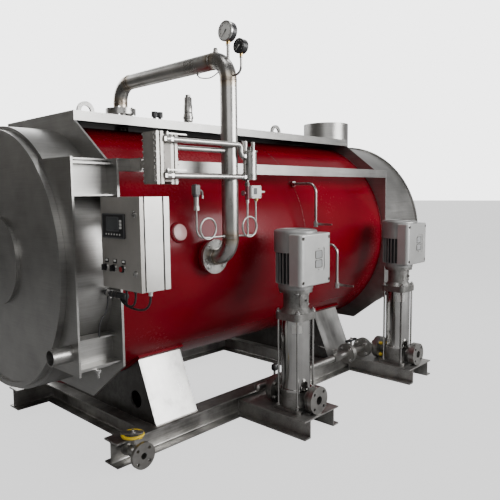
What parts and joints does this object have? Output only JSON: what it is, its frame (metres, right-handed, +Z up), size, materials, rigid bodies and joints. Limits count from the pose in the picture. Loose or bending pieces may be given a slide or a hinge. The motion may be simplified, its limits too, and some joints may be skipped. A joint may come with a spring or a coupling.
{
  "type": "industrial steam boiler",
  "caption": "Horizontal fire tube steam boiler on a beam skid with steam column, level chamber, control cabinet, feed pumps and drain line.",
  "frame": {"origin": "middle of the footprint at ground level", "axes": "+X from the front door to the rear smoke box, +Z up, -Y towards the pumps"},
  "size_m": [3.406, 1.927, 2.297],
  "materials": {
    "red_paint": "gloss paint",
    "pickled_steel": "pickled and brushed stainless",
    "pipe_steel": "satin stainless pipe",
    "cabinet_steel": "brushed stainless sheet",
    "cast_parts": "bead blasted",
    "grey_paint": "satin paint",
    "black_plastic": "matt",
    "grey_plastic": "matt",
    "yellow_paint": "plastic coated"
  },
  "bodies": {
    "boiler": {"boiler_shell": "red_paint", "cabinet_bars": "pickled_steel", "cabinet_body": "cabinet_steel", "cable_glands": "black_plastic", "cable_leads": "black_plastic", "chimney_collar": "pickled_steel", "column_flanges": "pipe_steel", "condensate_pot": "pipe_steel", "counter_flanges": "pipe_steel", "cross_beams": "pickled_steel", "drain_line": "pipe_steel", "feed_header": "pipe_steel", "frame_plate_front": "pickled_steel", "frame_plate_rear": "pickled_steel", "front_arms": "pickled_steel", "front_door": "pickled_steel", "front_drum": "pickled_steel", "front_ears": "pickled_steel", "front_stub": "pickled_steel", "front_tube_plate": "red_paint", "gauge_stems": "pipe_steel", "gauges": "black_plastic", "level_chamber": "pipe_steel", "level_pipes": "pipe_steel", "level_valves": "pipe_steel", "lifting_lugs": "pickled_steel", "long_beam_far": "pickled_steel", "long_beam_near": "pickled_steel", "pressure_switch": "grey_plastic", "pump_barrels": "pipe_steel", "pump_bases": "cast_parts", "pump_brackets": "pickled_steel", "pump_converters": "grey_paint", "pump_heads": "cast_parts", "pump_motors": "grey_paint", "rear_cover": "pickled_steel", "rear_drum": "pickled_steel", "rear_tube_plate": "red_paint", "saddle_front": "pickled_steel", "saddle_pads": "red_paint", "saddle_rear": "pickled_steel", "safety_valve": "pipe_steel", "shell_boss": "red_paint", "side_rails": "pickled_steel", "siphon_tubes": "pipe_steel", "stay_bolts": "pipe_steel", "steam_column": "pipe_steel", "tap_pipes": "pipe_steel", "top_caps": "black_plastic", "top_plate": "pickled_steel", "transmitter": "pipe_steel", "water_nozzle": "red_paint"},
    "door": {"cabinet_door": "cabinet_steel", "cabinet_controls": "black_plastic"},
    "drain_handle": {"drain_valve_handle": "yellow_paint"},
    "feed_handle": {"feed_valve_handle": "black_plastic"},
    "upper_tap_lever": {"tap_lever_upper": "pipe_steel"},
    "lower_tap_lever": {"tap_lever_lower": "pipe_steel"},
    "upper_level_lever": {"level_lever_upper": "pipe_steel"},
    "lower_level_lever": {"level_lever_lower": "pipe_steel"}
  },
  "joints": [
    {"name": "cabinet_door_hinge", "type": "hinge", "parent": "boiler", "child": "door", "pos_m": [-1.4865, -0.6375, 1.203], "axis": [0, 0, -1], "range_deg": [0, 90]},
    {"name": "drain_valve_turn", "type": "hinge", "parent": "boiler", "child": "drain_handle", "pos_m": [-1.261, -0.4685, 0.162], "axis": [0, 0, 1], "range_deg": [0, 90]},
    {"name": "feed_valve_turn", "type": "hinge", "parent": "boiler", "child": "feed_handle", "pos_m": [0.69, -0.5345, 0.28], "axis": [0, 0, 1], "range_deg": [0, 90]},
    {"name": "upper_tap_turn", "type": "hinge", "parent": "boiler", "child": "upper_tap_lever", "pos_m": [0.111, -0.62767, 1.204], "axis": [1, 0, 0], "range_deg": [0, 90]},
    {"name": "lower_tap_turn", "type": "hinge", "parent": "boiler", "child": "lower_tap_lever", "pos_m": [0.187, -0.74649, 0.799], "axis": [1, 0, 0], "range_deg": [0, 90]},
    {"name": "upper_level_turn", "type": "hinge", "parent": "boiler", "child": "upper_level_lever", "pos_m": [-1.226, -0.77175, 1.666], "axis": [0, 0, -1], "range_deg": [0, 90]},
    {"name": "lower_level_turn", "type": "hinge", "parent": "boiler", "child": "lower_level_lever", "pos_m": [-1.226, -0.77175, 1.499], "axis": [0, 0, -1], "range_deg": [0, 90]}
  ]
}
